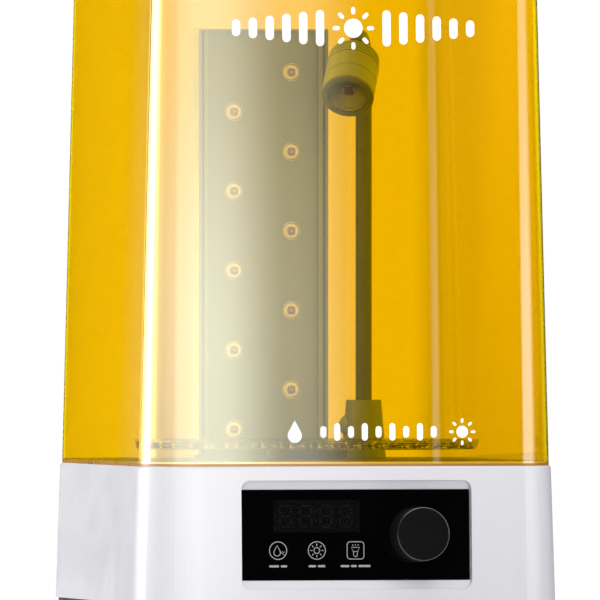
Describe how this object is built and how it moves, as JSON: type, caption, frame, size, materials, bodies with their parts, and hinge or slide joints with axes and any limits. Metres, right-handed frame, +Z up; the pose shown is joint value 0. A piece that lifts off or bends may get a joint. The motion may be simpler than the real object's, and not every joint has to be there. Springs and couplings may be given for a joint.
{
  "type": "uv curing lamp",
  "caption": "Desktop UV curing station: diode column and gooseneck lamp under a lift-off amber hood, driven turntable, base with display and selector knob.",
  "frame": {"origin": "middle of the whole footprint, knob included, on the surface the feet stand on", "axes": "+Z up, +X to the right as seen from the front, +Y towards the back; the control panel faces -Y"},
  "size_m": [0.222, 0.2462, 0.405],
  "materials": {
    "shell_white": "glossy",
    "plinth_dark": "satin",
    "foot_rubber": "matte",
    "screw_steel": "satin",
    "deck_dark": "satin",
    "panel_black": "glossy",
    "display_smoke": "glossy",
    "segment_grey": "matte",
    "module_black": "matte",
    "indicator_white": "glossy",
    "board_green": "satin",
    "shaft_steel": "satin",
    "knob_black": "satin",
    "standoff_brass": "satin",
    "driver_aluminium": "satin",
    "inlet_black": "satin",
    "motor_steel": "satin",
    "rotor_grey": "matte",
    "magnet_nickel": "glossy",
    "hub_grey": "satin",
    "turntable_clear": "glossy",
    "column_aluminium": "satin",
    "plate_grey": "satin",
    "chip_amber": "matte",
    "lens_clear": "glossy",
    "socket_dark": "satin",
    "ferrule_steel": "satin",
    "sleeve_dark": "satin",
    "lamp_dark": "satin",
    "reflector_bright": "glossy",
    "hood_amber": "glossy"
  },
  "bodies": {
    "base": {"base_shell": "shell_white", "base_plate": "plinth_dark", "rubber_feet": "foot_rubber", "base_screws": "screw_steel", "deck_plate": "deck_dark", "deck_screws": "screw_steel", "panel_glass": "panel_black", "display_window": "display_smoke", "display_segments": "segment_grey", "display_module": "module_black", "indicator_leds": "indicator_white", "control_board": "board_green", "encoder_body": "shaft_steel", "main_board": "board_green", "board_standoffs": "standoff_brass", "board_components": "module_black", "led_driver": "driver_aluminium", "dc_jack": "inlet_black", "rocker_frame": "inlet_black", "drive_motor": "motor_steel", "motor_bracket": "driver_aluminium", "motor_screws": "screw_steel", "shaft_bush": "standoff_brass", "column_profile": "column_aluminium", "led_plate": "plate_grey", "led_chips": "chip_amber", "led_lenses": "lens_clear", "column_cap": "column_aluminium", "column_foot": "column_aluminium", "column_screws": "screw_steel", "arm_socket": "socket_dark"},
    "drive": {"drive_shaft": "shaft_steel", "magnet_rotor": "rotor_grey", "rotor_magnets": "magnet_nickel", "drive_hub": "hub_grey"},
    "turntable": {"turntable_disc": "turntable_clear", "turntable_hub": "hub_grey"},
    "plunger": {"encoder_plunger": "indicator_white"},
    "knob": {"encoder_shaft": "shaft_steel", "selector_knob": "knob_black"},
    "rocker": {"rocker_button": "inlet_black"},
    "clamp": {"clamp_screw": "socket_dark"},
    "arm_lower": {"arm_ferrule": "ferrule_steel", "gooseneck_lower": "sleeve_dark"},
    "arm_middle": {"gooseneck_middle": "sleeve_dark"},
    "arm_upper": {"gooseneck_upper": "sleeve_dark"},
    "arm_hook": {"gooseneck_hook": "sleeve_dark"},
    "lamp": {"lamp_neck": "lamp_dark", "lamp_heatsink": "lamp_dark", "lamp_housing": "lamp_dark", "lamp_bezel": "lamp_dark", "lamp_reflector": "reflector_bright", "lamp_led_board": "plate_grey", "lamp_led": "chip_amber", "lamp_window": "lens_clear"},
    "hood": {"hood": "hood_amber"}
  },
  "joints": [
    {"name": "hood_lift", "type": "slide", "parent": "base", "child": "hood", "axis": [0, 0, 1], "range_m": [0, 0.34]},
    {"name": "turntable_spin", "type": "hinge", "parent": "base", "child": "drive", "pos_m": [0, -0.00286, 0.088], "axis": [0, 0, 1], "continuous": true},
    {"name": "turntable_lift", "type": "slide", "parent": "drive", "child": "turntable", "axis": [0, 0, 1], "range_m": [0, 0.02]},
    {"name": "knob_push", "type": "slide", "parent": "base", "child": "plunger", "axis": [0, 0.9995, -0.0332], "range_m": [0, 0.0006], "stiffness_N_per_m": 4000, "springref_m": -0.0004},
    {"name": "knob_turn", "type": "hinge", "parent": "plunger", "child": "knob", "pos_m": [0.0318, -0.1097, 0.0451], "axis": [0, -0.9995, 0.0332], "continuous": true},
    {"name": "power_rock", "type": "hinge", "parent": "base", "child": "rocker", "pos_m": [-0.03, 0.11378, 0.03572], "axis": [0, -0.0332, 0.9995], "range_deg": [-18, 0]},
    {"name": "clamp_turn", "type": "hinge", "parent": "base", "child": "clamp", "pos_m": [0.0432, 0.08814, 0.0992], "axis": [-1, 0, 0], "range_deg": [0, 180]},
    {"name": "arm_turn", "type": "hinge", "parent": "base", "child": "arm_lower", "pos_m": [0.0522, 0.08814, 0.0824], "axis": [0, 0, 1], "range_deg": [-25, 45]},
    {"name": "arm_bend_low", "type": "hinge", "parent": "arm_lower", "child": "arm_middle", "pos_m": [0.0522, 0.08814, 0.136], "axis": [0.9239, -0.3827, 0], "range_deg": [-3, 12]},
    {"name": "arm_bend_middle", "type": "hinge", "parent": "arm_middle", "child": "arm_upper", "pos_m": [0.0522, 0.08814, 0.186], "axis": [0.9239, -0.3827, 0], "range_deg": [-3, 12]},
    {"name": "arm_bend_high", "type": "hinge", "parent": "arm_upper", "child": "arm_hook", "pos_m": [0.0522, 0.08814, 0.236], "axis": [0.9239, -0.3827, 0], "range_deg": [-3, 12]},
    {"name": "lamp_tilt", "type": "hinge", "parent": "arm_hook", "child": "lamp", "pos_m": [0.04218, 0.06395, 0.29598], "axis": [0.9239, -0.3827, 0], "range_deg": [-20, 20]}
  ],
  "couplings": [
    {"joint": "arm_bend_middle", "follows": "arm_bend_low", "ratio": 1},
    {"joint": "arm_bend_high", "follows": "arm_bend_low", "ratio": 1}
  ]
}
